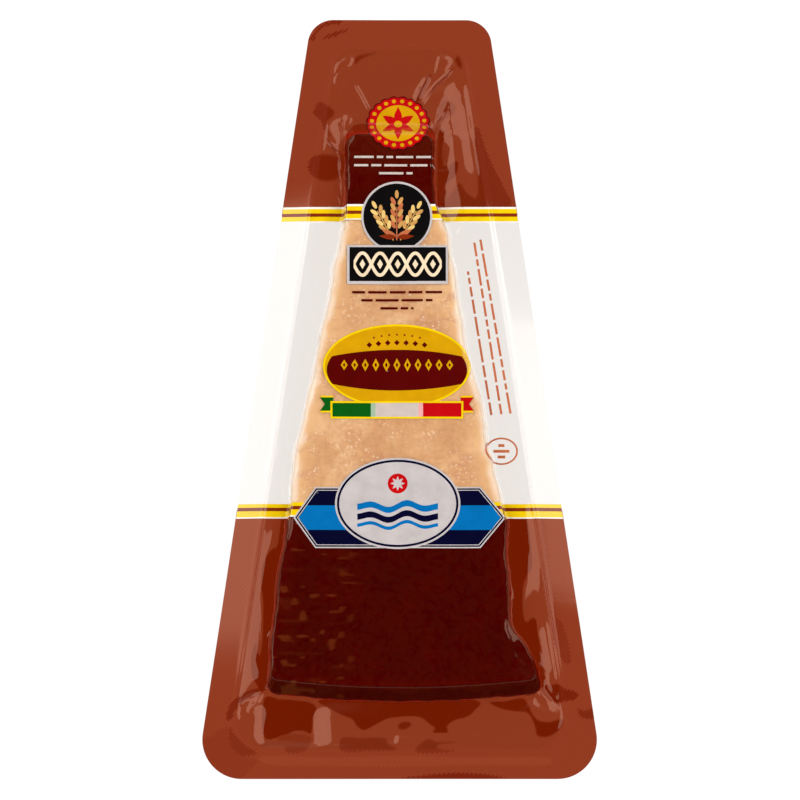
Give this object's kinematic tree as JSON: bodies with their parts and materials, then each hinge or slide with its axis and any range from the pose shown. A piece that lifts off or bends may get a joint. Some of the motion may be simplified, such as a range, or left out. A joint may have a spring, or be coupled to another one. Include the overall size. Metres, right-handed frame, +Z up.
{
  "type": "vacuum-packed cheese wedge",
  "caption": "Flat wedge of hard cheese sealed in a tapered vacuum pack: a printed film on the front, a clear formed film on the back, welded all round.",
  "frame": {"origin": "centre of the bounding box, on the flat back that the pack lies on", "axes": "+X across the pack, +Y along it towards its narrow end, +Z up out of the printed front"},
  "size_m": [0.1026, 0.2, 0.031],
  "materials": {
    "printed_film": "gloss",
    "clear_film": "gloss",
    "label_print": "gloss",
    "cheese": "matte"
  },
  "bodies": {
    "root": {"vacuum_pack": "printed_film"}
  },
  "joints": []
}
